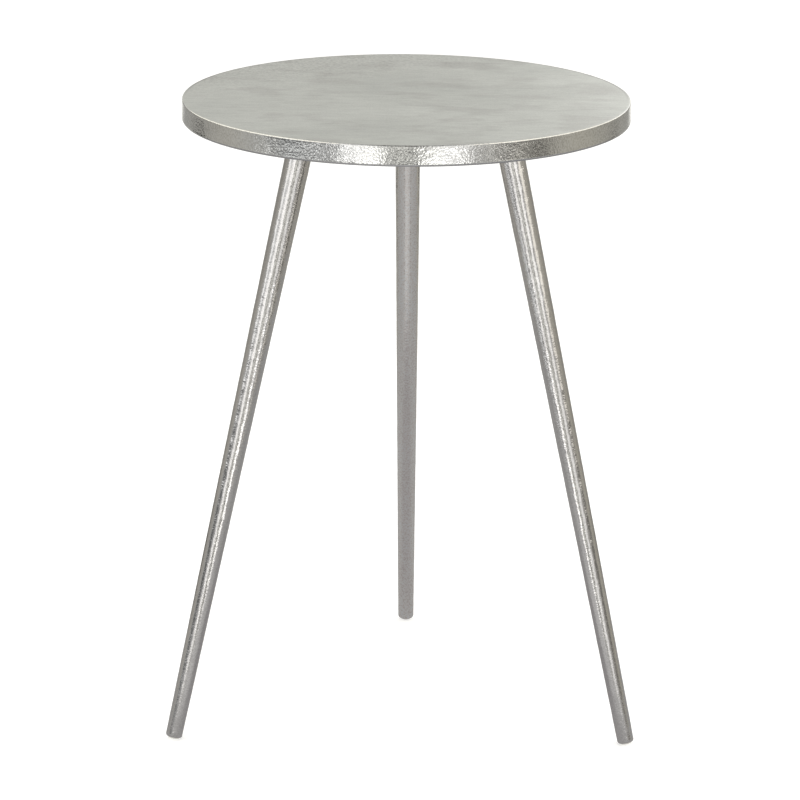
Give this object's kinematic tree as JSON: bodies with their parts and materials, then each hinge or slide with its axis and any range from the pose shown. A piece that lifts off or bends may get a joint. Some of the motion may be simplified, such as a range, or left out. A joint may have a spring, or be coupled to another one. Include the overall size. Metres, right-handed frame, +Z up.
{
  "type": "tripod side table",
  "caption": "Round side table with a flat cast-metal top, a turned-down rim and tapered, splayed screw-in legs.",
  "frame": {"origin": "on the floor, under the middle of the top", "axes": "+Z up, along the table's vertical axis; +Y towards the back leg; +X to the right"},
  "size_m": [0.4206, 0.4417, 0.566],
  "materials": {
    "nickel_top": "nickel-plated sand casting: satin brushed on the flat face, bright and grainy on the rim",
    "nickel_legs": "nickel-plated casting, polished over a slightly wavy, fine-grained skin",
    "zinc_hardware": "bright zinc plate",
    "nylon_glide": "natural, milky-white moulded nylon"
  },
  "bodies": {
    "tabletop": {"tabletop": "nickel_top", "threaded_insert_back": "zinc_hardware", "threaded_insert_left": "zinc_hardware", "threaded_insert_right": "zinc_hardware"},
    "washer_back": {"lock_washer_back": "zinc_hardware"},
    "leg_back": {"leg_back": "nickel_legs", "leg_stud_back": "zinc_hardware", "foot_glide_back": "nylon_glide"},
    "washer_left": {"lock_washer_left": "zinc_hardware"},
    "leg_left": {"leg_left": "nickel_legs", "leg_stud_left": "zinc_hardware", "foot_glide_left": "nylon_glide"},
    "washer_right": {"lock_washer_right": "zinc_hardware"},
    "leg_right": {"leg_right": "nickel_legs", "leg_stud_right": "zinc_hardware", "foot_glide_right": "nylon_glide"}
  },
  "joints": [
    {"name": "leg_back_travel", "type": "slide", "parent": "tabletop", "child": "washer_back", "axis": [0, 0.2351, -0.972], "range_m": [0, 0.0105]},
    {"name": "leg_back_turn", "type": "hinge", "parent": "washer_back", "child": "leg_back", "pos_m": [0, 0.10203, 0.551], "axis": [0, 0.2351, -0.972], "range_deg": [0, 3024]},
    {"name": "leg_left_travel", "type": "slide", "parent": "tabletop", "child": "washer_left", "axis": [-0.2036, -0.1176, -0.972], "range_m": [0, 0.0105]},
    {"name": "leg_left_turn", "type": "hinge", "parent": "washer_left", "child": "leg_left", "pos_m": [-0.08836, -0.05102, 0.551], "axis": [-0.2036, -0.1176, -0.972], "range_deg": [0, 3024]},
    {"name": "leg_right_travel", "type": "slide", "parent": "tabletop", "child": "washer_right", "axis": [0.2036, -0.1176, -0.972], "range_m": [0, 0.0105]},
    {"name": "leg_right_turn", "type": "hinge", "parent": "washer_right", "child": "leg_right", "pos_m": [0.08836, -0.05102, 0.551], "axis": [0.2036, -0.1176, -0.972], "range_deg": [0, 3024]}
  ],
  "couplings": [
    {"joint": "leg_back_turn", "follows": "leg_back_travel", "rad_per_m": 5026.5},
    {"joint": "leg_left_turn", "follows": "leg_left_travel", "rad_per_m": 5026.5},
    {"joint": "leg_right_turn", "follows": "leg_right_travel", "rad_per_m": 5026.5}
  ]
}
